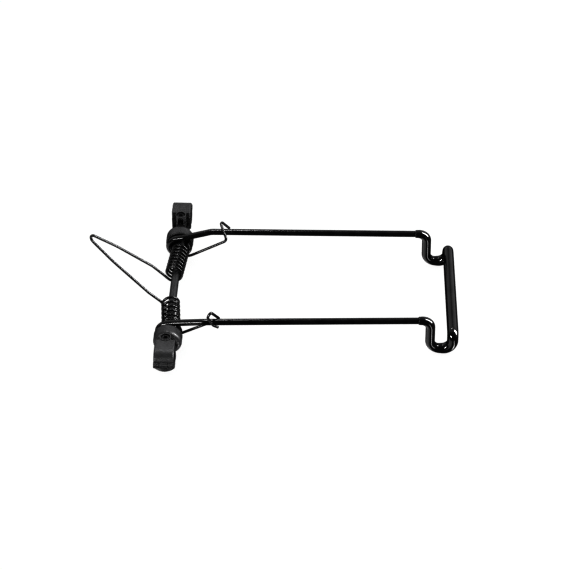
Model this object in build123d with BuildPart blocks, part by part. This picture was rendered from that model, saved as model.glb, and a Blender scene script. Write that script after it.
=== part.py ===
from build123d import *
import os
from math import cos, sin, radians

os.makedirs("parts", exist_ok=True)

# Spring clamp for a bicycle luggage rack. A long wire bail turns on an axle that is held between
# two hinged tube clips, and a double torsion spring presses the bail down on the luggage.
# Millimetres. The origin is the middle of the axle: +X runs along the arms to the hand grip,
# +Y along the axle to the rear clip, +Z up. The front side (-Y) mirrors the rear side (+Y).

# Rack tubes that the clips close on
tube_r = 5.0
tube_y = 73.4
tube_z = 4.0

# Axle
axle_r = 2.5
axle_end = 52.0
axle_chamfer = 0.5

# Bail: one bent rod with an open eye at each end
rod_r = 2.0
eye_y = 43.6
eye_r = 6.75
eye_tangent = 101.0
eye_cut = 33.0
eye_lead = 4.5
knee = (22.0, 46.2, 11.05)
step_top = (166.6, 44.15, 14.5)
step_bottom = (167.2, 44.2, -8.4)
rise_bottom = (181.4, 44.2, -8.4)
bar_end = (181.4, 44.2, 2.8)
knee_bend = 12.0
step_bend = 5.5
bottom_bend = 6.4
bar_bend = 4.5

# Soft sleeve over the hand end of the bail: it swells from its thin mouths to the hand bar
sleeve_start = 159.0
sleeve_swell = 1.8
sleeve_gap = 0.04
sleeve_mouth_r = 2.5
sleeve_arm_r = 2.95
sleeve_bar_r = 3.5
sleeve_straight = 0.2

# Torsion spring: one wire with two open coils, a pointed loop between them and a hook at each end
wire_r = 0.8
coil_r = 5.3
coil_turns = 8
coil_inner = Vector(-1.3, 13.2, 0)
coil_outer = Vector(1.25, 39.9, 0)
loop_angle = 220.0
leg_angle = 277.0
loop_straight = 4.2
loop_shoulder = (-15.2, 13.65, 6.9)
loop_bow = (-37.5, 8.2, 27.8)
loop_tip = (-58.3, 0.0, 47.3)
tip_bend = 3.3
bow_bend = 60.0
shoulder_bend = 8.0
loop_lead_bend = 12.0
leg_straight = 5.85
leg_lead_bend = 8.0
hook_base = (32.7, 40.0, 8.7)
hook_top = (27.6, 47.2, 20.2)
hook_end_rear = [(33.9, 49.3, 12.0)]
hook_end_front = [(25.6, 48.8, 17.0), (29.1, 49.1, 10.9), (32.4, 49.1, 9.5)]
base_bend = 2.4
top_bend = 1.4
hook_bend = 2.0

# Clip body: drum with an eye spigot, saddle under the tube, screw block and outer knuckles
drum_r = 9.1
drum_in = 46.6
drum_out = 56.0
drum_shoulder = 3.2
drum_rim = 0.8
spigot_r = 4.65
spigot_in = 40.9
axle_bore_gap = 0.02
clip_half = 6.3
clip_r = 8.25
clip_in = 65.0
web_half = 5.2
web_top = 2.0
web_low = -5.5
web_in = 52.5
block_half = 3.5
block_low = -1.5
saddle_end_r = 6.1

# Cap: arch over the tube with a screw boss, hinged to the body on the outer side
hinge_y = 80.6
hinge_z = 5.0
knuckle_r = 2.1
knuckle_half = 2.6
knuckle_gap = 0.2
cap_low = hinge_z + knuckle_r + knuckle_gap
block_top = cap_low - 0.4
cap_top = tube_z + clip_r
boss_top = cap_top + 0.3
slot_half = 1.8
slot_top = 10.9
arch_round = 0.9

# Hinge pin, socket-head screw M3 and thin square nut M3
pin_r = 0.9
pin_gap = 0.05
pin_half = 6.1
screw_y = 62.5
screw_r = 1.5
screw_hole_r = 1.8
screw_tip = 3.9
head_r = 2.75
head_seat = 9.1
head_top = 11.9
head_edge = 0.3
counterbore_r = 2.95
key_flats = 2.5
key_depth = 1.0
nut_side = 5.5
nut_thick = 1.8
nut_gap = 0.05
nut_hole_r = 1.6


def save(piece, name):
    """Label a finished piece and write it as its own STEP file."""
    piece.part.label = name
    export_step(piece.part, f"parts/{name}.step")


def front_point(point):
    """The same point on the front side."""
    return (point[0], -point[1], point[2])


def disc_at_start(path, radius):
    """A disc square to the path at its first point, ready to be swept."""
    with BuildSketch(Plane(origin=path @ 0, z_dir=path % 0)) as disc:
        Circle(radius)
    return disc.sketch


# ---------------------------------------------------------------- bail
def eye_arc(side, first, sweep_angle):
    """An arc of the bail eye on one side, in the plane of the eye."""
    with BuildLine(Plane(origin=(0, side * eye_y, 0), x_dir=(1, 0, 0), z_dir=(0, -1, 0))) as arc:
        CenterArc((0, 0), eye_r, first, sweep_angle)
    return arc.line


tangent = radians(eye_tangent)
arm_start = (eye_r * cos(tangent), eye_y, eye_r * sin(tangent))
arm_lead = (arm_start[0] + eye_lead * sin(tangent), eye_y, arm_start[2] - eye_lead * cos(tangent))
arm_points = [arm_start, arm_lead, knee, step_top, step_bottom, rise_bottom, bar_end]
arm_bends = [knee_bend, knee_bend, step_bend, bottom_bend, bottom_bend, bar_bend]
eye_turn = 360 - eye_tangent + eye_cut

with BuildLine() as bail_line:
    add(eye_arc(1, eye_cut, -eye_turn))
    FilletPolyline(
        *arm_points,
        *[front_point(p) for p in reversed(arm_points)],
        radius=[*arm_bends, *reversed(arm_bends)],
    )
    add(eye_arc(-1, eye_tangent, eye_turn))

bail_wire = bail_line.line.wires()[0]
with BuildPart() as bail:
    add(disc_at_start(bail_wire, rod_r))
    sweep(path=bail_wire)
save(bail, "bail")


# ---------------------------------------------------------------- sleeve over the hand end
def sleeve_run(points, bends, outer_r):
    """A length of sleeve along the bent rod: a tube with the rod's own bore."""
    with BuildLine() as line:
        FilletPolyline(*points, radius=bends)
    run = line.line.wires()[0]
    with BuildPart() as tube:
        add(disc_at_start(run, outer_r))
        sweep(path=run)
        add(disc_at_start(run, rod_r + sleeve_gap))
        sweep(path=run, mode=Mode.SUBTRACT)
    return tube.part


def arm_point(x):
    """The point at this X on the straight part of the arm."""
    along = (x - knee[0]) / (step_top[0] - knee[0])
    return tuple(k + along * (s - k) for k, s in zip(knee, step_top))


def sleeve_cone(start, end, start_r, end_r):
    """A straight length of sleeve that changes radius."""
    axis = Vector(*end) - Vector(*start)
    middle = (Vector(*start) + Vector(*end)) / 2
    with BuildPart(Plane(origin=middle, z_dir=axis)) as cone:
        Cone(start_r, end_r, axis.length)
        Cylinder(rod_r + sleeve_gap, axis.length, mode=Mode.SUBTRACT)
    return cone.part


sleeve_mouth = arm_point(sleeve_start)
swell_end = arm_point(sleeve_start + sleeve_swell)
bend_run = bottom_bend + sleeve_straight
taper_start = (step_bottom[0] + bend_run, step_bottom[1], step_bottom[2])
taper_end = (rise_bottom[0] - bend_run, rise_bottom[1], rise_bottom[2])

mouth_sleeve = sleeve_cone(sleeve_mouth, swell_end, sleeve_mouth_r, sleeve_arm_r)
arm_sleeve = sleeve_run(
    [swell_end, step_top, step_bottom, taper_start], [step_bend, bottom_bend], sleeve_arm_r
)
taper_sleeve = sleeve_cone(taper_start, taper_end, sleeve_arm_r, sleeve_bar_r)
bar_sleeve = sleeve_run(
    [taper_end, rise_bottom, bar_end, front_point(bar_end), front_point(rise_bottom),
     front_point(taper_end)],
    [bottom_bend, bar_bend, bar_bend, bottom_bend],
    sleeve_bar_r,
)

with BuildPart() as grip_sleeve:
    add(bar_sleeve)
    for tube in (mouth_sleeve, arm_sleeve, taper_sleeve):
        add(tube)
        mirror(tube, about=Plane.XZ)
save(grip_sleeve, "grip_sleeve")

# ---------------------------------------------------------------- axle
with BuildPart() as pivot_rod:
    with BuildSketch(Plane.XZ):
        Circle(axle_r)
    extrude(amount=axle_end, both=True)
    chamfer(pivot_rod.edges().filter_by(GeomType.CIRCLE), axle_chamfer)
save(pivot_rod, "pivot_rod")

# ---------------------------------------------------------------- torsion spring
# The coil leans: its inner end is pulled towards the loop, and its outer end is centred.
coil_axis = (coil_outer - coil_inner).normalized()
coil_length = (coil_outer - coil_inner).length
last_turn = (leg_angle - loop_angle) / 360
coil_pitch = coil_length / (coil_turns + last_turn)
towards_loop = Vector(cos(radians(loop_angle)), 0, sin(radians(loop_angle)))
coil_start = (towards_loop - coil_axis * towards_loop.dot(coil_axis)).normalized()


def coil_edge(turns_before, turns):
    """A stretch of the coil's centre line, after some whole turns."""
    start = coil_inner + coil_axis * coil_pitch * turns_before
    plane = Plane(origin=start, x_dir=coil_start, z_dir=coil_axis)
    stretch = plane * Helix(coil_pitch, coil_pitch * turns, coil_r, lefthand=True)
    return stretch.edges()[0]


coil = Wire([*[coil_edge(turn, 1) for turn in range(coil_turns)], coil_edge(coil_turns, last_turn)])
coil_from = coil @ 0
coil_to = coil @ 1
loop_lead = coil_from - (coil % 0) * loop_straight
leg_lead = coil_to + (coil % 1) * leg_straight


def wire_along(run):
    """A run of spring wire along a path."""
    with BuildPart() as rod:
        add(disc_at_start(run, wire_r))
        sweep(path=run)
    return rod.part


def spring_leg(hook_end):
    """The straight leg that leaves the coil's outer end and hooks over a bail arm."""
    end_bends = [hook_bend] * (len(hook_end) - 1)
    with BuildLine() as leg:
        FilletPolyline(
            coil_to, leg_lead, hook_base, hook_top, *hook_end,
            radius=[leg_lead_bend, base_bend, top_bend, *end_bends],
        )
    return wire_along(leg.line.wires()[0])


loop_half = [loop_bow, loop_shoulder, tuple(loop_lead), tuple(coil_from)]
loop_bends = [bow_bend, shoulder_bend, loop_lead_bend]
with BuildLine() as loop_line:
    FilletPolyline(
        *[front_point(p) for p in reversed(loop_half)],
        loop_tip,
        *loop_half,
        radius=[*reversed(loop_bends), tip_bend, *loop_bends],
    )

rear_coil = wire_along(coil)
rear_leg = spring_leg(hook_end_rear)
front_leg = spring_leg(hook_end_front)
loop = wire_along(loop_line.line.wires()[0])
with BuildPart() as torsion_spring:
    add(rear_coil)
    add(rear_leg)
    add(loop)
    mirror(rear_coil, about=Plane.XZ)
    mirror(front_leg, about=Plane.XZ)
save(torsion_spring, "torsion_spring")


# ---------------------------------------------------------------- clips
def knuckle_hole():
    """The hinge pin's hole through every knuckle."""
    with BuildSketch(Plane.YZ) as hole:
        with Locations((hinge_y, hinge_z)):
            Circle(pin_r + pin_gap)
    extrude(hole.sketch, amount=clip_half + 1, both=True, mode=Mode.SUBTRACT)


def tube_bore():
    """The round seat for the rack tube."""
    with BuildSketch(Plane.YZ) as bore:
        with Locations((tube_y, tube_z)):
            Circle(tube_r)
    extrude(bore.sketch, amount=clip_half + 1, both=True, mode=Mode.SUBTRACT)


def block(y_low, y_high, z_low, z_high, x_half, mode=Mode.ADD):
    """A rectangular block, centred on X."""
    with BuildSketch(Plane.YZ) as side:
        with Locations(((y_low + y_high) / 2, (z_low + z_high) / 2)):
            Rectangle(y_high - y_low, z_high - z_low)
    extrude(side.sketch, amount=x_half, both=True, mode=mode)


def post(radius, z_low, z_high, mode=Mode.ADD):
    """An upright round post or hole on the screw's axis."""
    with BuildSketch(Plane.XY.offset(z_low)) as foot:
        with Locations((0, screw_y)):
            Circle(radius)
    extrude(foot.sketch, amount=z_high - z_low, mode=mode)


with BuildPart() as clamp_body_rear:
    # Saddle: the lower half of a barrel-shaped ring round the tube
    with BuildSketch(Plane(origin=(0, tube_y, tube_z), x_dir=(1, 0, 0), z_dir=(0, 0, 1))):
        with BuildLine():
            crown = ThreePointArc((-clip_half, saddle_end_r), (0, clip_r), (clip_half, saddle_end_r))
            Polyline(crown @ 1, (clip_half, 0), (-clip_half, 0), crown @ 0)
        make_face()
    revolve(axis=Axis((0, tube_y, tube_z), (1, 0, 0)))
    block(tube_y - clip_r, tube_y + clip_r, tube_z, tube_z + clip_r, clip_half, Mode.SUBTRACT)
    block(clip_in, tube_y - tube_r, block_low, block_top, clip_half)
    # Outer knuckles of the hinge, one on each side of the cap's knuckle
    with BuildSketch(Plane.YZ):
        with Locations((hinge_y, hinge_z)):
            Circle(knuckle_r)
    extrude(amount=clip_half, both=True)
    with BuildSketch(Plane.YZ):
        with Locations((hinge_y, hinge_z)):
            Circle(knuckle_r + knuckle_gap)
    extrude(amount=knuckle_half + knuckle_gap, both=True, mode=Mode.SUBTRACT)
    # Web from the saddle to the drum, and the block that holds the nut
    block(web_in, tube_y - tube_r, web_low, web_top, web_half)
    post(block_half, block_low, block_top)
    block(screw_y, clip_in, block_low, block_top, block_half)
    # Drum with the spigot that the bail's eye turns on, bored for the axle
    with BuildSketch(Plane.YZ):
        with BuildLine():
            Polyline(
                (drum_out, drum_r - drum_shoulder),
                (drum_out, 0),
                (axle_end, 0),
                (axle_end, axle_r + axle_bore_gap),
                (spigot_in, axle_r + axle_bore_gap),
                (spigot_in, spigot_r),
                (drum_in, spigot_r),
                (drum_in, drum_r - drum_rim),
                (drum_in + drum_rim, drum_r),
                (drum_out - drum_shoulder, drum_r),
            )
            CenterArc((drum_out - drum_shoulder, drum_r - drum_shoulder), drum_shoulder, 0, 90)
        make_face()
    revolve(axis=Axis.Y)
    tube_bore()
    knuckle_hole()
    # Nut trap and screw hole, both open towards the drum
    nut_half = nut_side / 2 + nut_gap
    nut_half_thick = nut_thick / 2 + nut_gap
    nut_mouth = screw_y - block_half - 1
    block(nut_mouth, screw_y + nut_half, hinge_z - nut_half_thick, hinge_z + nut_half_thick,
          nut_half, Mode.SUBTRACT)
    post(screw_hole_r, web_top + 1, block_top, Mode.SUBTRACT)
    block(nut_mouth, screw_y, web_top + 1, block_top, slot_half, Mode.SUBTRACT)
save(clamp_body_rear, "clamp_body_rear")

with BuildPart() as clamp_cap_rear:
    # Arch over the tube: flat on top towards the drum, round on the outer side
    with BuildSketch(Plane.YZ):
        with Locations((tube_y, tube_z)):
            Circle(clip_r)
        with Locations((clip_in, cap_top)):
            Rectangle(tube_y - clip_in, cap_top - cap_low, align=(Align.MIN, Align.MAX))
        with Locations((tube_y, cap_low)):
            Rectangle(4 * clip_r, 2 * clip_r, align=(Align.CENTER, Align.MAX), mode=Mode.SUBTRACT)
    extrude(amount=clip_half, both=True)
    arch_rim = clamp_cap_rear.faces().filter_by(Axis.X).edges()
    fillet(arch_rim.filter_by_position(Axis.Z, cap_low + 0.1, cap_top + 0.1), arch_round)
    # Middle knuckle, hanging from the outer end of the arch
    with BuildSketch(Plane.YZ):
        with Locations((tube_y, tube_z)):
            Circle(clip_r)
        with Locations((tube_y + tube_r, hinge_z)):
            Rectangle(clip_r, cap_low + 1 - hinge_z, align=(Align.MIN, Align.MIN), mode=Mode.INTERSECT)
        with Locations((hinge_y, hinge_z)):
            Circle(knuckle_r)
    extrude(amount=knuckle_half, both=True)
    # Boss for the screw
    post(block_half, cap_low, boss_top)
    block(screw_y, clip_in + 1, cap_low, cap_top, block_half)
    post(counterbore_r, head_seat, boss_top, Mode.SUBTRACT)
    post(screw_hole_r, cap_low, head_seat, Mode.SUBTRACT)
    block(nut_mouth, screw_y, cap_low, slot_top, slot_half, Mode.SUBTRACT)
    tube_bore()
    knuckle_hole()
save(clamp_cap_rear, "clamp_cap_rear")

with BuildPart() as hinge_pin_rear:
    with BuildSketch(Plane.YZ):
        with Locations((hinge_y, hinge_z)):
            Circle(pin_r)
    extrude(amount=pin_half, both=True)
    chamfer(hinge_pin_rear.edges().filter_by(GeomType.CIRCLE), pin_r / 4)
save(hinge_pin_rear, "hinge_pin_rear")

with BuildPart() as clamp_screw_rear:
    post(screw_r, screw_tip, head_seat)
    chamfer(clamp_screw_rear.faces().sort_by(Axis.Z)[0].edges(), head_edge)
    post(head_r, head_seat, head_top)
    chamfer(clamp_screw_rear.faces().sort_by(Axis.Z)[-1].edges(), head_edge)
    with BuildSketch(Plane.XY.offset(head_top)):
        with Locations((0, screw_y)):
            RegularPolygon(key_flats / 2, 6, major_radius=False)
    extrude(amount=-key_depth, mode=Mode.SUBTRACT)
save(clamp_screw_rear, "clamp_screw_rear")

with BuildPart() as clamp_nut_rear:
    with BuildSketch(Plane.XY.offset(hinge_z)):
        with Locations((0, screw_y)):
            Rectangle(nut_side, nut_side)
            Circle(nut_hole_r, mode=Mode.SUBTRACT)
    extrude(amount=nut_thick / 2, both=True)
save(clamp_nut_rear, "clamp_nut_rear")

# The front clip is the mirror image of the rear one
for rear_piece, name in [
    (clamp_body_rear, "clamp_body_front"),
    (clamp_cap_rear, "clamp_cap_front"),
    (hinge_pin_rear, "hinge_pin_front"),
    (clamp_screw_rear, "clamp_screw_front"),
    (clamp_nut_rear, "clamp_nut_front"),
]:
    with BuildPart() as front_piece:
        mirror(rear_piece.part, about=Plane.XZ)
    save(front_piece, name)
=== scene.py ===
import math

import bpy
from mathutils import Matrix, Vector


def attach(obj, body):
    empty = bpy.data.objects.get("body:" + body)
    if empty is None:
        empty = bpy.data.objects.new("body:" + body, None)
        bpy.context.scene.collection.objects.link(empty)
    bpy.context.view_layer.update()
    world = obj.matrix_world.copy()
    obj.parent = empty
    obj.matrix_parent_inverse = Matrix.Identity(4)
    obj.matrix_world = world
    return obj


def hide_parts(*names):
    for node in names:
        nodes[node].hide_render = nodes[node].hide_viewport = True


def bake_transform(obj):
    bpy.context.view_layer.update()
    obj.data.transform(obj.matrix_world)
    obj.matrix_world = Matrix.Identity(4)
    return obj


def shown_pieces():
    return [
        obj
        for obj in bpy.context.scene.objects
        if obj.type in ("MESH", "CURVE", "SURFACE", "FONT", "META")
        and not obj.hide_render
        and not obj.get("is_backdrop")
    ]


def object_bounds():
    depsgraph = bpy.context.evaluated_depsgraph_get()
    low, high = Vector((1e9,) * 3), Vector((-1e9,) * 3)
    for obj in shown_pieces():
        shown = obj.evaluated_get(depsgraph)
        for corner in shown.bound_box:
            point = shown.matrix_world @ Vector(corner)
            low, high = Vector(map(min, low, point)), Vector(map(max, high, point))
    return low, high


# Looks for a bicycle luggage rack spring clamp. The CAD frame gives the places of all pieces:
# +X runs along the arms to the hand grip, +Y along the axle to the rear clip, +Z up.
# Dimensions, paths and radii are in millimetres until they are multiplied by MM. Places of the
# lights, the camera and the floor, and lengths inside materials, are in metres.

MM = 0.001

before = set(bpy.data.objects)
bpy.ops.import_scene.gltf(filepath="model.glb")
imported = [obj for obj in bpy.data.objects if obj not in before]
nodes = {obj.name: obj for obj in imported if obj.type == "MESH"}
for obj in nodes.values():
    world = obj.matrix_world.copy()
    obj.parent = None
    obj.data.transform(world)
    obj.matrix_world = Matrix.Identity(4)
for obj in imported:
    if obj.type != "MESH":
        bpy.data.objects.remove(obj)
cad_low, cad_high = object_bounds()

# ---------------------------------------------------------------- dimensions, in millimetres
ROD_R = 2.0

# Bail arm centre line from the knee to the hand bar, rear side
KNEE = (22.0, 46.2, 11.05)
STEP_TOP = (166.6, 44.15, 14.5)
STEP_BOTTOM = (167.2, 44.2, -8.4)
RISE_BOTTOM = (181.4, 44.2, -8.4)
BAR_END = (181.4, 44.2, 2.8)
STEP_BEND = 5.5
BOTTOM_BEND = 6.4
BAR_BEND = 4.5

# Dipped sleeve
SLEEVE_START = 159.0
SLEEVE_GAP = 0.04
SLEEVE_MOUTH_R = 2.5
SLEEVE_ARM_R = 2.95
SLEEVE_BAR_R = 3.5
SLEEVE_LIP = 0.4
SLEEVE_LIP_DROP = 0.35
SLEEVE_LIP_STEPS = (0.08, 0.25, 0.5, 0.75, 1.0)
SLEEVE_SWELL = 7.0
SLEEVE_TAPER_INSET = 2.0
SLEEVE_SIDES = 40
SLEEVE_LONGEST_RUN = 1.2
SLEEVE_ARC_STEP = math.radians(6)

# Torsion spring
WIRE_R = 0.8
COIL_R = 5.3
LOOP_ANGLE = 220.0
LEG_ANGLE = 277.0
COIL_TURNS = 8 + (LEG_ANGLE - LOOP_ANGLE) / 360
COIL_INNER = Vector((-1.3, 13.2, 0.0))
COIL_OUTER = Vector((1.25, 39.9, 0.0))
LOOP_SHOULDER = (-15.2, 13.65, 6.9)
LOOP_BOW = (-37.5, 8.2, 27.8)
LOOP_TIP = (-58.3, 0.0, 47.3)
LOOP_LEAD = 4.2
LOOP_BENDS = [3.3, 60.0, 8.0, 12.0]
LEG_LEAD = 5.85
HOOK_BASE = (32.7, 40.0, 8.7)
HOOK_TOP = (27.6, 47.2, 20.2)
HOOK_END_REAR = [(33.9, 49.3, 12.0)]
HOOK_END_FRONT = [(25.6, 48.8, 17.0), (29.1, 49.1, 10.9), (32.4, 49.1, 9.5)]
LEG_BENDS = [8.0, 2.4, 1.4, 2.0, 2.0]
CLOSED_PITCH = 2 * WIRE_R
FRONT_CLOSED_PITCH = CLOSED_PITCH + 0.02
FRONT_CLOSED_TURNS = 3.0
PITCH_CHANGE_TURNS = 0.8
STEPS_PER_TURN = 36
WIRE_SIDES = 14
WIRE_LONGEST_RUN = 1.6
WIRE_END_ROUND = 0.12
WIRE_END_RINGS = ((0.6, 0.9), (1.0, 0.6))

# Smallest turn, in radians, and smallest step, in millimetres, that paths keep
TINY = 1e-4
# How far past the middle plane a point of the rear half may lie, in millimetres
MIDDLE_TOLERANCE = 1e-6
# Greatest turn between two points of a rounded corner
ARC_STEP = math.radians(9)


# ---------------------------------------------------------------- paths and swept tubes
def rounded_path(points, radii, arc_step=ARC_STEP):
    """Points along a polyline whose inner corners are rounded to the given radii."""
    corners = [Vector(p) for p in points]
    path = [corners[0]]
    for before, corner, after, radius in zip(corners, corners[1:], corners[2:], radii):
        to_before = (before - corner).normalized()
        to_after = (after - corner).normalized()
        turn = math.pi - to_before.angle(to_after)
        if turn < TINY:
            path.append(corner)
            continue
        setback = radius * math.tan(turn / 2)
        start = corner + to_before * setback
        end = corner + to_after * setback
        centre = corner + (to_before + to_after).normalized() * radius / math.cos(turn / 2)
        steps = 2 * max(1, math.ceil(turn / arc_step / 2))
        from_centre = start - centre
        side = (end - centre - from_centre * math.cos(turn)) / math.sin(turn)
        for k in range(steps + 1):
            angle = turn * k / steps
            path.append(centre + from_centre * math.cos(angle) + side * math.sin(angle))
    path.append(corners[-1])
    return path


def without_repeats(path):
    """The path without points that lie on the one before."""
    kept = [path[0]]
    for point in path[1:]:
        if (point - kept[-1]).length > TINY:
            kept.append(point)
    return kept


def split_long_runs(path, longest):
    """The same path, with long straight runs cut into shorter ones."""
    out = [path[0]]
    for a, b in zip(path, path[1:]):
        pieces = max(1, math.ceil((b - a).length / longest))
        for k in range(1, pieces + 1):
            out.append(a.lerp(b, k / pieces))
    return out


def path_frames(path):
    """A tangent and a side vector at each point, carried along the path without twisting."""
    tangents = []
    for i in range(len(path)):
        ahead = path[min(i + 1, len(path) - 1)] - path[i]
        behind = path[i] - path[max(i - 1, 0)]
        tangents.append((ahead.normalized() + behind.normalized()).normalized())
    side = tangents[0].orthogonal().normalized()
    sides = []
    for tangent in tangents:
        side = (side - tangent * side.dot(tangent)).normalized()
        sides.append(side.copy())
    return tangents, sides


def ring(centre, tangent, side, radius, count):
    """Points of a circle square to the tangent, in metres."""
    other = tangent.cross(side)
    points = []
    for k in range(count):
        angle = 2 * math.pi * k / count
        offset = side * (radius * math.cos(angle)) + other * (radius * math.sin(angle))
        points.append((centre + offset) * MM)
    return points


def bridge(faces, a, b, count):
    """Quads between two rings that start at vertices a and b."""
    for k in range(count):
        n = (k + 1) % count
        faces.append((a + k, a + n, b + n, b + k))


def mesh_piece(name, vertices, faces):
    """A smooth-shaded mesh object."""
    mesh = bpy.data.meshes.new(name)
    mesh.from_pydata([tuple(v) for v in vertices], [], faces)
    mesh.validate()
    mesh.polygons.foreach_set("use_smooth", [True] * len(mesh.polygons))
    mesh.update()
    piece = bpy.data.objects.new(name, mesh)
    bpy.context.scene.collection.objects.link(piece)
    return piece


def wire_piece(name, path, radius, count, round_end):
    """A round wire along a path: flat at its first point and narrowed in steps at its last."""
    tangents, sides = path_frames(path)
    vertices = []
    starts = []
    for centre, tangent, side in zip(path, tangents, sides):
        starts.append(len(vertices))
        vertices += ring(centre, tangent, side, radius, count)
    tangent, side = tangents[-1], sides[-1]
    for share, scale in WIRE_END_RINGS:
        starts.append(len(vertices))
        tip = path[-1] + tangent * (round_end * share)
        vertices += ring(tip, tangent, side, radius * scale, count)
    faces = []
    for a, b in zip(starts, starts[1:]):
        bridge(faces, a, b, count)
    faces.append(tuple(reversed(range(starts[0], starts[0] + count))))
    faces.append(tuple(range(starts[-1], starts[-1] + count)))
    return mesh_piece(name, vertices, faces)


def tube_piece(name, path, radii, inner_radius, count):
    """A hollow tube along a path, with its own outer radius at each point."""
    tangents, sides = path_frames(path)
    vertices = []
    outer = []
    inner = []
    for centre, tangent, side, radius in zip(path, tangents, sides, radii):
        outer.append(len(vertices))
        vertices += ring(centre, tangent, side, radius, count)
    for centre, tangent, side in zip(path, tangents, sides):
        inner.append(len(vertices))
        vertices += ring(centre, tangent, side, inner_radius, count)
    faces = []
    for a, b in zip(outer, outer[1:]):
        bridge(faces, a, b, count)
    for a, b in zip(inner, inner[1:]):
        bridge(faces, b, a, count)
    bridge(faces, inner[0], outer[0], count)
    bridge(faces, outer[-1], inner[-1], count)
    return mesh_piece(name, vertices, faces)


def mirrored(point):
    """The same point on the other side of the middle plane."""
    return Vector((point[0], -point[1], point[2]))


# ---------------------------------------------------------------- torsion spring
def coil_pitch_share(t, closed_turns, closed_pitch):
    """The share of the coil's length reached after a share t of its turns.

    The last closed_turns at the hook end are closed, the others are open, and the pitch changes
    evenly between the two.
    """
    length = (COIL_OUTER - COIL_INNER).length
    open_turns = COIL_TURNS - closed_turns
    open_pitch = (length - closed_turns * closed_pitch) / open_turns
    turns = t * COIL_TURNS
    blend = PITCH_CHANGE_TURNS
    low = open_turns - blend / 2
    high = open_turns + blend / 2
    if turns <= low:
        reached = turns * open_pitch
    elif turns >= high:
        reached = length - (COIL_TURNS - turns) * closed_pitch
    else:
        s = (turns - low) / blend
        open_part = open_pitch * (s - s * s / 2)
        closed_part = closed_pitch * s * s / 2
        reached = low * open_pitch + blend * (open_part + closed_part)
    return reached / length


def coil_path(closed_turns, closed_pitch):
    """The coil's centre line, from the loop end to the hook end."""
    axis = (COIL_OUTER - COIL_INNER).normalized()
    length = (COIL_OUTER - COIL_INNER).length
    angle = math.radians(LOOP_ANGLE)
    start = Vector((math.cos(angle), 0.0, math.sin(angle)))
    start = (start - axis * start.dot(axis)).normalized()
    other = start.cross(axis)
    steps = round(COIL_TURNS * STEPS_PER_TURN)
    path = []
    for k in range(steps + 1):
        t = k / steps
        turned = 2 * math.pi * COIL_TURNS * t
        along = length * coil_pitch_share(t, closed_turns, closed_pitch)
        radial = start * math.cos(turned) + other * math.sin(turned)
        path.append(COIL_INNER + axis * along + radial * COIL_R)
    return path


def end_tangent(before, middle, end):
    """The direction in which an evenly stepped curve leaves its last point."""
    return (3 * end - 4 * middle + before).normalized()


def spring_half_path(hook_end, closed_turns, closed_pitch):
    """Half of the spring's wire, from the tip of the loop through the coil to the hook."""
    coil = coil_path(closed_turns, closed_pitch)
    loop_lead = coil[0] + end_tangent(coil[2], coil[1], coil[0]) * LOOP_LEAD
    leg_lead = coil[-1] + end_tangent(coil[-3], coil[-2], coil[-1]) * LEG_LEAD
    loop = rounded_path(
        [mirrored(LOOP_BOW), LOOP_TIP, LOOP_BOW, LOOP_SHOULDER, loop_lead, coil[0]], LOOP_BENDS
    )
    loop = [p for p in loop if p.y > -MIDDLE_TOLERANCE]
    leg = rounded_path([coil[-1], leg_lead, HOOK_BASE, HOOK_TOP, *hook_end], LEG_BENDS)
    path = without_repeats(loop + coil[1:] + leg[1:])
    return split_long_runs(path, WIRE_LONGEST_RUN)


def spring_half(name, side, hook_end, closed_turns, closed_pitch):
    """One half of the spring: the rear one for side 1 and the front one for side -1."""
    path = spring_half_path(hook_end, closed_turns, closed_pitch)
    if side < 0:
        path = [mirrored(p) for p in path]
    piece = wire_piece(name, path, WIRE_R, WIRE_SIDES, WIRE_END_ROUND)
    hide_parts("torsion_spring")
    return piece


# ---------------------------------------------------------------- dipped sleeve
def sleeve():
    """The soft coating over the hand end: a lip on each arm, thin on the arms, thick on the bar."""
    knee, step_top = Vector(KNEE), Vector(STEP_TOP)
    mouth = knee.lerp(step_top, (SLEEVE_START - knee.x) / (step_top.x - knee.x))
    half = [mouth, step_top, Vector(STEP_BOTTOM), Vector(RISE_BOTTOM), Vector(BAR_END)]
    bends = [STEP_BEND, BOTTOM_BEND, BOTTOM_BEND, BAR_BEND]
    points = half + [mirrored(p) for p in reversed(half)]
    path = rounded_path(points, bends + list(reversed(bends)), SLEEVE_ARC_STEP)
    along = mouth + (step_top - mouth).normalized() * SLEEVE_LIP
    path = without_repeats(path)
    lip = [mouth.lerp(along, s) for s in SLEEVE_LIP_STEPS]
    path = [path[0], *lip, *path[1:-1], *[mirrored(p) for p in reversed(lip)], path[-1]]
    path = split_long_runs(path, SLEEVE_LONGEST_RUN)
    taper_from = STEP_BOTTOM[0] + SLEEVE_TAPER_INSET
    taper_to = RISE_BOTTOM[0] - SLEEVE_TAPER_INSET
    radii = []
    for p in path:
        from_mouth = min((p - mouth).length, (p - mirrored(mouth)).length)
        grow = min(max((p.x - taper_from) / (taper_to - taper_from), 0.0), 1.0)
        grow = grow * grow * (3 - 2 * grow)
        radius = SLEEVE_ARM_R + (SLEEVE_BAR_R - SLEEVE_ARM_R) * grow
        if from_mouth < SLEEVE_SWELL:
            radius = SLEEVE_MOUTH_R + (SLEEVE_ARM_R - SLEEVE_MOUTH_R) * from_mouth / SLEEVE_SWELL
        edge = min(from_mouth / SLEEVE_LIP, 1.0)
        radii.append(radius - (1 - math.sqrt(1 - (1 - edge) ** 2)) * SLEEVE_LIP_DROP)
    piece = tube_piece("grip_sleeve_dip", path, radii, ROD_R + SLEEVE_GAP, SLEEVE_SIDES)
    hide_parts("grip_sleeve")
    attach(piece, "bail")
    return piece


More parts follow.
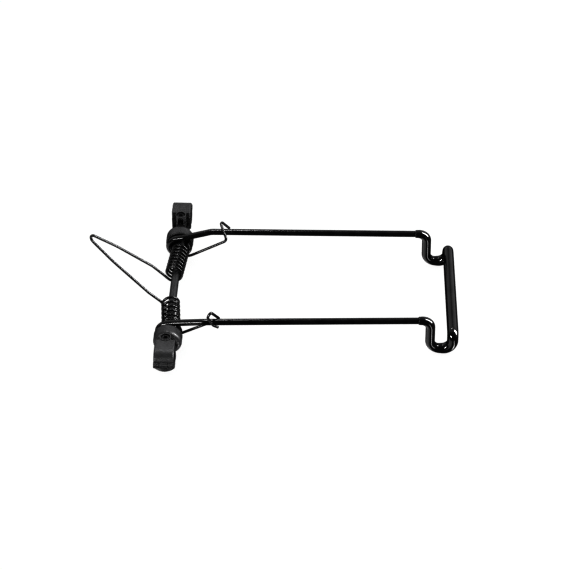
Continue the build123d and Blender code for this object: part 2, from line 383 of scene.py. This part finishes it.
# ---------------------------------------------------------------- materials
class Nodes:
    """A node tree under construction."""

    def __init__(self, tree):
        self.tree = tree
        self.tree.nodes.clear()

    def node(self, kind, **inputs):
        """A new node, with some of its inputs set to numbers or linked to sockets."""
        made = self.tree.nodes.new(kind)
        for name, value in inputs.items():
            self.feed(made.inputs[name.replace("_", " ")], value)
        return made

    def feed(self, socket, value):
        """Gives a socket a number, a vector, a colour, or another node's output."""
        if isinstance(value, bpy.types.NodeSocket):
            self.tree.links.new(value, socket)
        elif isinstance(value, tuple) and socket.type == "RGBA":
            socket.default_value = (*value, 1.0)
        else:
            socket.default_value = value

    def noise(self, where, scale, detail=3.0, rough=0.5):
        """Smooth noise, with scale in features per metre."""
        texture = self.node(
            "ShaderNodeTexNoise", Vector=where, Scale=scale, Detail=detail, Roughness=rough
        )
        return texture.outputs["Fac"]

    def remap(self, value, low, high, to_low, to_high, smooth=False):
        """A value moved from one range to another, clamped."""
        made = self.node("ShaderNodeMapRange")
        made.interpolation_type = "SMOOTHSTEP" if smooth else "LINEAR"
        made.inputs["From Min"].default_value = low
        made.inputs["From Max"].default_value = high
        made.inputs["To Min"].default_value = to_low
        made.inputs["To Max"].default_value = to_high
        self.feed(made.inputs["Value"], value)
        return made.outputs["Result"]

    def math(self, operation, a, b=0.0):
        """A math node on one or two values, each a socket or a number."""
        made = self.node("ShaderNodeMath")
        made.operation = operation
        self.feed(made.inputs[0], a)
        self.feed(made.inputs[1], b)
        return made.outputs["Value"]

    def mix(self, share, a, b):
        """A colour between two colours, each a socket or three numbers."""
        made = self.node("ShaderNodeMix")
        made.data_type = "RGBA"
        self.feed(made.inputs["Factor"], share)
        sides = [s for s in made.inputs if s.type == "RGBA"]
        self.feed(sides[0], a)
        self.feed(sides[1], b)
        return [s for s in made.outputs if s.type == "RGBA"][0]


class Surface(Nodes):
    """The nodes of a material with one Principled BSDF."""

    def __init__(self, name):
        self.material = bpy.data.materials.new(name)
        self.material.use_nodes = True
        super().__init__(self.material.node_tree)
        self.bsdf = self.node("ShaderNodeBsdfPrincipled")
        self.node("ShaderNodeOutputMaterial", Surface=self.bsdf.outputs["BSDF"])
        self.where = self.node("ShaderNodeTexCoord").outputs["Object"]

    def set(self, name, value):
        """One input of the Principled BSDF."""
        self.feed(self.bsdf.inputs[name], value)

    def stretched(self, scale):
        """Object coordinates scaled along each axis."""
        return self.node("ShaderNodeMapping", Vector=self.where, Scale=scale).outputs["Vector"]

    def worn_edge(self, radius):
        """Near 1 on sharp edges and 0 on faces."""
        bevel = self.node("ShaderNodeBevel", Radius=radius)
        bevel.samples = 6
        dot = self.node("ShaderNodeVectorMath")
        dot.operation = "DOT_PRODUCT"
        self.feed(dot.inputs[0], bevel.outputs["Normal"])
        self.feed(dot.inputs[1], self.node("ShaderNodeNewGeometry").outputs["Normal"])
        return self.remap(dot.outputs["Value"], 0.93, 0.75, 0.0, 1.0)

    def crevice(self, reach):
        """Painted shade: near 1 in gaps and corners, where ambient occlusion is strong, and 0 in the
        open.
        """
        occlusion = self.node("ShaderNodeAmbientOcclusion", Distance=reach)
        occlusion.samples = 8
        return self.remap(occlusion.outputs["AO"], 0.3, 0.92, 1.0, 0.0)

    def bump(self, height, distance, strength):
        """Adds surface relief."""
        made = self.node("ShaderNodeBump", Height=height, Distance=distance, Strength=strength)
        self.set("Normal", made.outputs["Normal"])


COATING_BLACK = (0.01, 0.01, 0.0105)
DIP_DARK = (0.008, 0.008, 0.0085)
DIP_LIGHT = (0.014, 0.014, 0.0145)
NYLON_DARK = (0.036, 0.036, 0.037)
NYLON_LIGHT = (0.05, 0.05, 0.0515)
NYLON_RUBBED = (0.085, 0.085, 0.087)
# Colour of the painted shade laid into the clips' gaps and corners
NYLON_PAINTED_SHADE = (0.006, 0.006, 0.006)
AXLE_GREY = (0.10, 0.10, 0.102)
SCREW_BLACK = (0.07, 0.07, 0.072)
PIN_GREY = (0.34, 0.34, 0.35)


def coated_steel(name, colour, rough):
    """Black coated steel: a faint orange peel, and slightly uneven gloss."""
    s = Surface(name)
    blotch = s.noise(s.where, 130.0, 2.0)
    fine = s.noise(s.where, 1500.0, 2.0)
    lighter = tuple(c * 1.5 + 0.002 for c in colour)
    s.set("Base Color", s.mix(s.remap(blotch, 0.35, 0.7, 0.0, 1.0), colour, lighter))
    slow_change = s.remap(blotch, 0.3, 0.7, -0.02, 0.03)
    fine_change = s.remap(fine, 0.3, 0.7, -0.01, 0.015)
    s.set("Roughness", s.math("ADD", s.math("ADD", slow_change, fine_change), rough))
    s.bump(s.noise(s.where, 500.0, 1.0), 0.00002, 0.12)
    return s.material


def gloss_dip(name):
    """Dipped PVC: high gloss, with the slow sags of a coating that ran while it set."""
    s = Surface(name)
    slow = s.noise(s.where, 95.0, 1.0)
    fine = s.noise(s.where, 420.0, 2.0)
    s.set("Base Color", s.mix(s.remap(slow, 0.35, 0.65, 0.0, 1.0), DIP_DARK, DIP_LIGHT))
    s.set("Roughness", s.remap(fine, 0.3, 0.7, 0.07, 0.12))
    s.set("Specular IOR Level", 0.55)
    s.bump(s.math("ADD", slow, s.math("MULTIPLY", fine, 0.25)), 0.0002, 0.25)
    return s.material


def moulded_nylon(name):
    """Charcoal moulded nylon: a fine spark-eroded grain, with paler rubbed edges, and gaps darkened
    by painted shade.
    """
    s = Surface(name)
    grain = s.node("ShaderNodeTexVoronoi", Vector=s.where, Scale=5200.0).outputs["Distance"]
    fine = s.noise(s.where, 2600.0, 3.0)
    cloud = s.noise(s.where, 160.0, 3.0)
    body = s.mix(s.remap(cloud, 0.3, 0.7, 0.0, 1.0), NYLON_DARK, NYLON_LIGHT)
    worn = s.math("MULTIPLY", s.worn_edge(0.0004), s.remap(fine, 0.35, 0.65, 0.35, 1.0))
    rubbed = s.mix(worn, body, NYLON_RUBBED)
    # Painted shade: ambient occlusion darkens the base colour in gaps and corners.
    s.set("Base Color", s.mix(s.crevice(0.003), rubbed, NYLON_PAINTED_SHADE))
    rough = s.remap(cloud, 0.3, 0.7, 0.4, 0.5)
    s.set("Roughness", s.math("ADD", rough, s.math("MULTIPLY", worn, -0.12)))
    height = s.math("ADD", s.math("MULTIPLY", grain, 0.6), s.math("MULTIPLY", fine, 0.5))
    s.bump(height, 0.00006, 0.45)
    return s.material


def drawn_steel(name, colour, stretch, rough):
    """Drawn or turned steel: fine lines in the metal, with a satin grey finish."""
    s = Surface(name)
    lines = s.noise(s.stretched(stretch), 1.0, 3.0, 0.6)
    cloud = s.noise(s.where, 220.0, 2.0)
    darker = tuple(c * 0.6 for c in colour)
    s.set("Base Color", s.mix(s.remap(lines, 0.3, 0.7, 0.0, 1.0), darker, colour))
    s.set("Metallic", 0.75)
    s.set("Roughness", s.math("ADD", s.remap(cloud, 0.3, 0.7, -0.05, 0.05), rough))
    s.bump(lines, 0.00003, 0.4)
    return s.material


rod_black = coated_steel("rod_coating_look", COATING_BLACK, 0.17)
wire_black = coated_steel("spring_wire_look", COATING_BLACK, 0.13)
dip_black = gloss_dip("sleeve_pvc_look")
nylon = moulded_nylon("clip_plastic_look")
axle_grey = drawn_steel("axle_steel_look", AXLE_GREY, (2600.0, 90.0, 2600.0), 0.36)
screw_black = drawn_steel("screw_steel_look", SCREW_BLACK, (1500.0, 1500.0, 5000.0), 0.3)
pin_grey = drawn_steel("pin_steel_look", PIN_GREY, (300.0, 3000.0, 3000.0), 0.3)

looks = {
    "bail": rod_black,
    "pivot_rod": axle_grey,
    "clamp_body": nylon,
    "clamp_cap": nylon,
    "clamp_screw": screw_black,
    "clamp_nut": pin_grey,
    "hinge_pin": pin_grey,
    "grip_sleeve": dip_black,
    "torsion_spring": wire_black,
}


def dress(piece, material):
    """Gives a piece this material only."""
    if not piece.material_slots:
        piece.data.materials.append(material)
    for slot in piece.material_slots:
        slot.material = material


for node_name, node_object in nodes.items():
    kind = node_name.replace("_rear", "").replace("_front", "")
    dress(node_object, looks[kind])

rear_spring = spring_half("spring_rear_half", 1, HOOK_END_REAR, 0.0, CLOSED_PITCH)
front_spring = spring_half(
    "spring_front_half", -1, HOOK_END_FRONT, FRONT_CLOSED_TURNS, FRONT_CLOSED_PITCH
)
# Each spring half gets the wire look, and its place is baked into its mesh.
for piece, side in ((rear_spring, 1), (front_spring, -1)):
    dress(piece, wire_black)
    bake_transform(piece)

dress(sleeve(), dip_black)

# ---------------------------------------------------------------- floor
FLOOR_HALF = 3.0
FLOOR_GAP = 0.0002
FLOOR_DIFFUSE = (0.12, 0.12, 0.12)
FLOOR_GLOW = 0.93
WHITE = (1.0, 1.0, 1.0)
floor_mesh = bpy.data.meshes.new("floor")
corners = [(-1, -1), (1, -1), (1, 1), (-1, 1)]
floor_z = cad_low.z - FLOOR_GAP
floor_points = [(x * FLOOR_HALF, y * FLOOR_HALF, floor_z) for x, y in corners]
floor_mesh.from_pydata(floor_points, [], [(0, 1, 2, 3)])
floor = bpy.data.objects.new("floor", floor_mesh)
bpy.context.scene.collection.objects.link(floor)
floor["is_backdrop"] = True


def floor_material():
    """A plain white light table: it glows softly, so the object casts only a faint shadow."""
    material = bpy.data.materials.new("floor_look")
    material.use_nodes = True
    made = Nodes(material.node_tree)
    pale = made.node("ShaderNodeBsdfDiffuse", Color=FLOOR_DIFFUSE)
    glow = made.node("ShaderNodeEmission", Color=WHITE, Strength=FLOOR_GLOW)
    both = made.node("ShaderNodeAddShader")
    made.feed(both.inputs[0], pale.outputs["BSDF"])
    made.feed(both.inputs[1], glow.outputs["Emission"])
    made.node("ShaderNodeOutputMaterial", Surface=both.outputs["Shader"])
    return material


floor_mesh.materials.append(floor_material())
floor.visible_glossy = False

# ---------------------------------------------------------------- light
# Strength of the world for all rays except reflections, and what reflections see in it
FLOOR_LIGHT = 1.15
WALL_MIDDLE = 1.3
WALL_SIDES = 2.6
LOW_RIGHT = 0.1
LOW_LEFT = 4.0
STRIP_X = 0.45
STRIP_STRENGTH = 17.0


def studio_world():
    """Even white light. Reflections see a wall behind, a glow low on the left and a low strip.

    Below the horizon the far side is dark, which gives round rods their black outlines.
    """
    world = bpy.data.worlds.new("studio")
    world.use_nodes = True
    made = Nodes(world.node_tree)
    direction = made.node("ShaderNodeTexCoord").outputs["Generated"]
    way = made.node("ShaderNodeSeparateXYZ", Vector=direction)
    x, y, z = way.outputs["X"], way.outputs["Y"], way.outputs["Z"]
    off_middle = made.math("ABSOLUTE", x)
    beside = made.remap(off_middle, 0.08, 0.28, WALL_MIDDLE, WALL_SIDES, smooth=True)
    back = made.remap(y, -0.4, 0.0, 0.0, 1.0, smooth=True)
    above = made.remap(z, -0.15, 0.15, 0.0, 1.0, smooth=True)
    wall = made.math("MULTIPLY", made.math("MULTIPLY", back, above), beside)
    before = made.remap(y, 0.5, 0.1, 0.0, 1.0, smooth=True)
    below = made.math("MULTIPLY", made.remap(z, 0.0, -0.3, 0.0, 1.0, smooth=True), before)
    leftward = made.remap(x, -0.08, -0.3, LOW_RIGHT, LOW_LEFT, smooth=True)
    left_low = made.math("MULTIPLY", below, leftward)
    off_strip = made.math("ABSOLUTE", made.math("SUBTRACT", x, STRIP_X))
    strip = made.remap(off_strip, 0.05, 0.12, STRIP_STRENGTH, 0.0)
    low_front = made.math("MULTIPLY", below, made.remap(y, 0.0, -0.3, 0.0, 1.0))
    sides = made.math("ADD", left_low, made.math("MULTIPLY", strip, low_front))
    gloss = made.math("ADD", wall, sides)
    in_gloss = made.node("ShaderNodeLightPath").outputs["Is Glossy Ray"]
    strength = made.node("ShaderNodeMix", Factor=in_gloss, A=FLOOR_LIGHT, B=gloss)
    background = made.node("ShaderNodeBackground", Strength=strength.outputs["Result"])
    made.node("ShaderNodeOutputWorld", Surface=background.outputs["Background"])
    world.cycles.sampling_method = "NONE"
    return world


bpy.context.scene.world = studio_world()

lit_pieces = bpy.data.collections.new("lit_pieces")
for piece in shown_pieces():
    lit_pieces.objects.link(piece)


def softbox(name, place, target, width, height, radiance, fill=False):
    """A soft light on the object only. A fill lights it evenly; the others show only in its gloss."""
    light = bpy.data.lights.new(name, "AREA")
    light.shape = "RECTANGLE"
    light.size = width
    light.size_y = height
    light.energy = radiance * math.pi * width * height
    lamp = bpy.data.objects.new(name, light)
    lamp.location = place
    direction = Vector(target) - Vector(place)
    lamp.rotation_euler = direction.to_track_quat("-Z", "Y").to_euler()
    lamp.visible_camera = False
    lamp.visible_glossy = not fill
    lamp.visible_diffuse = fill
    lamp.light_linking.receiver_collection = lit_pieces
    bpy.context.scene.collection.objects.link(lamp)


softbox("light_above", (-0.05, 0.25, 0.62), (0.02, 0.0, 0.0), 0.10, 0.10, 60.0)
softbox("light_left", (-0.34, -0.55, 0.30), (0.0, -0.04, 0.0), 0.42, 0.16, 40.0)
softbox("light_right", (0.68, 0.0, 0.42), (0.05, 0.0, 0.0), 0.20, 0.75, 50.0)
softbox("fill_above", (0.05, 0.45, 0.85), (0.05, 0.0, 0.0), 0.7, 0.5, 13.0, fill=True)
softbox("fill_right", (0.8, -0.15, 0.25), (0.0, 0.0, 0.0), 0.4, 0.3, 50.0, fill=True)

# ---------------------------------------------------------------- camera
CAMERA_TARGET = Vector((0.07304, 0.0, 0.00443))
CAMERA_DISTANCE = 1.179
CAMERA_ELEVATION = math.radians(40.0)
CAMERA_TURN = math.radians(-1.83)
CAMERA_ROLL = math.radians(0.03)
CAMERA_LENS = 113.56
CAMERA_SENSOR = 36.0
CAMERA_NEAR = 0.05
CAMERA_FAR = 20.0
# Display gamma that shows thin black rods on white as thick as a photo does
VIEW_GAMMA = 0.43

forward = Vector((
    math.sin(CAMERA_TURN) * math.cos(CAMERA_ELEVATION),
    math.cos(CAMERA_TURN) * math.cos(CAMERA_ELEVATION),
    -math.sin(CAMERA_ELEVATION),
))
camera_data = bpy.data.cameras.new("camera")
camera_data.lens = CAMERA_LENS
camera_data.sensor_width = CAMERA_SENSOR
camera_data.clip_start = CAMERA_NEAR
camera_data.clip_end = CAMERA_FAR
camera = bpy.data.objects.new("camera", camera_data)
roll = Matrix.Rotation(CAMERA_ROLL, 3, "Z")
turned = forward.to_track_quat("-Z", "Y").to_matrix() @ roll
place = Matrix.Translation(CAMERA_TARGET - forward * CAMERA_DISTANCE)
camera.matrix_world = place @ turned.to_4x4()
bpy.context.scene.collection.objects.link(camera)
bpy.context.scene.camera = camera
bpy.context.scene.view_settings.view_transform = "Standard"
bpy.context.scene.view_settings.gamma = VIEW_GAMMA
